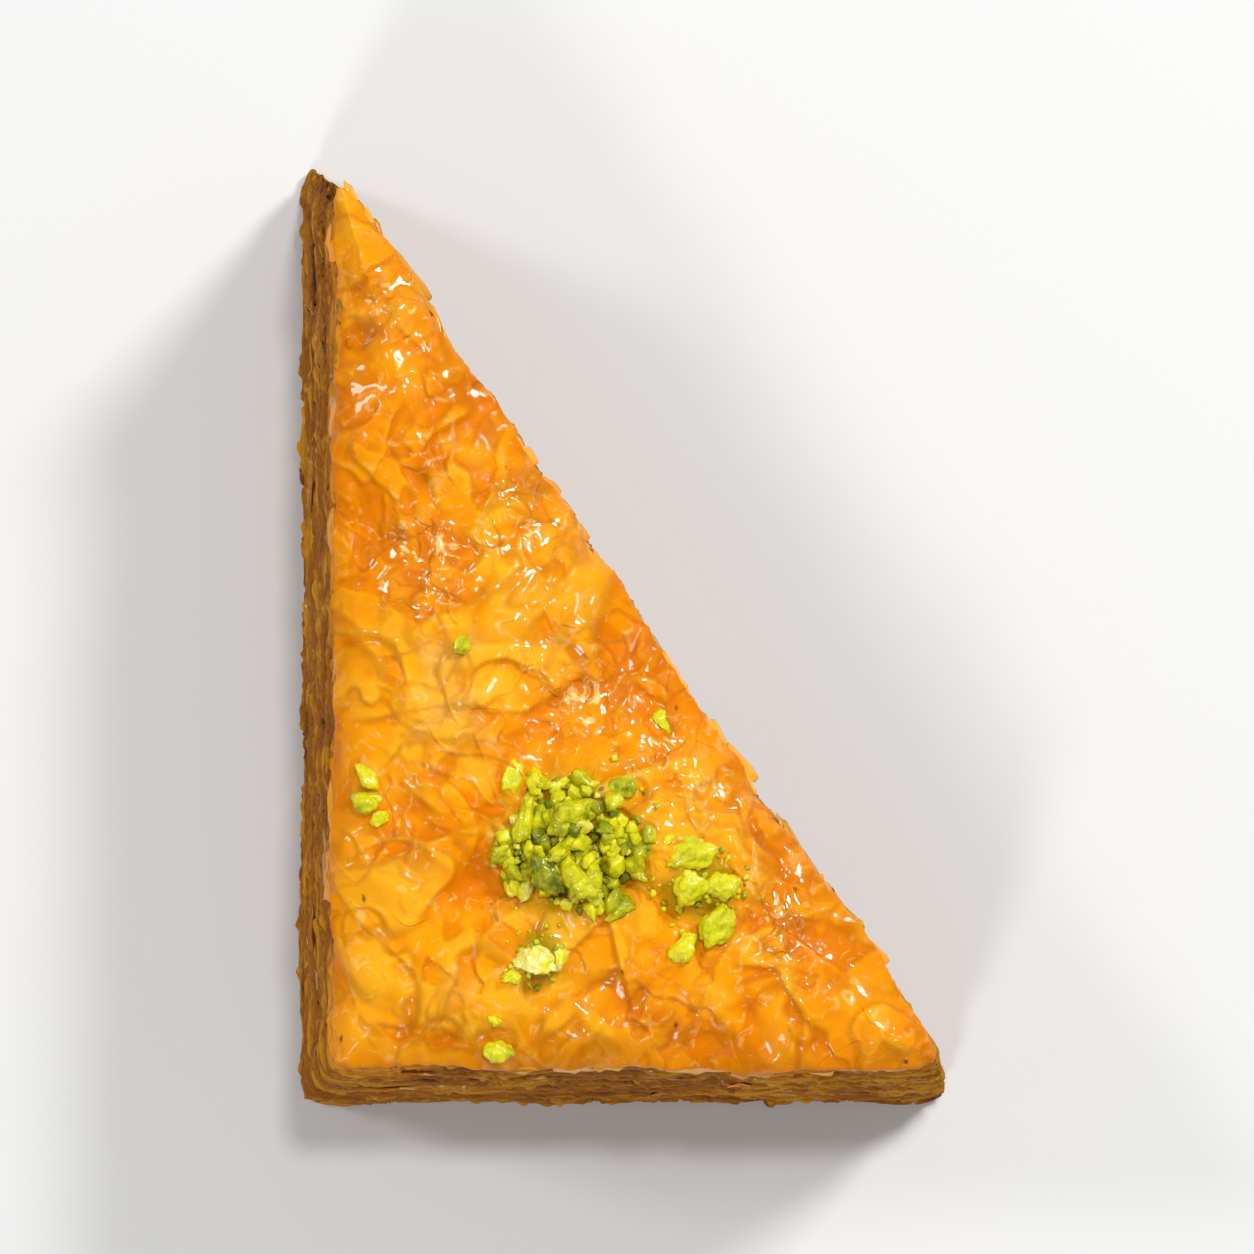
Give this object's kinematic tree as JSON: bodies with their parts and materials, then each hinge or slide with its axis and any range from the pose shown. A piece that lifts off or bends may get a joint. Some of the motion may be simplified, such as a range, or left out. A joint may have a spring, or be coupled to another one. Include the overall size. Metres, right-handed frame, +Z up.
{
  "type": "baklava piece",
  "caption": "Right-angled triangular piece of baklava with layered cut sides, a crowned, syrup-glazed top sheet and a flat bottom to rest on.",
  "frame": {"origin": "on the flat bottom, under the middle of the piece's box", "axes": "+Z up out of the top sheet; +Y along the long leg, away from the right angle; +X along the short leg, away from the right angle"},
  "size_m": [0.0574, 0.083, 0.0298],
  "materials": {
    "pastry": "baked golden-orange pastry leaves under a glossy film of syrup, brown on the cut sides; gloss_plastic stands in for the syrup's shine"
  },
  "bodies": {
    "root": {"pastry": "pastry"}
  },
  "joints": []
}
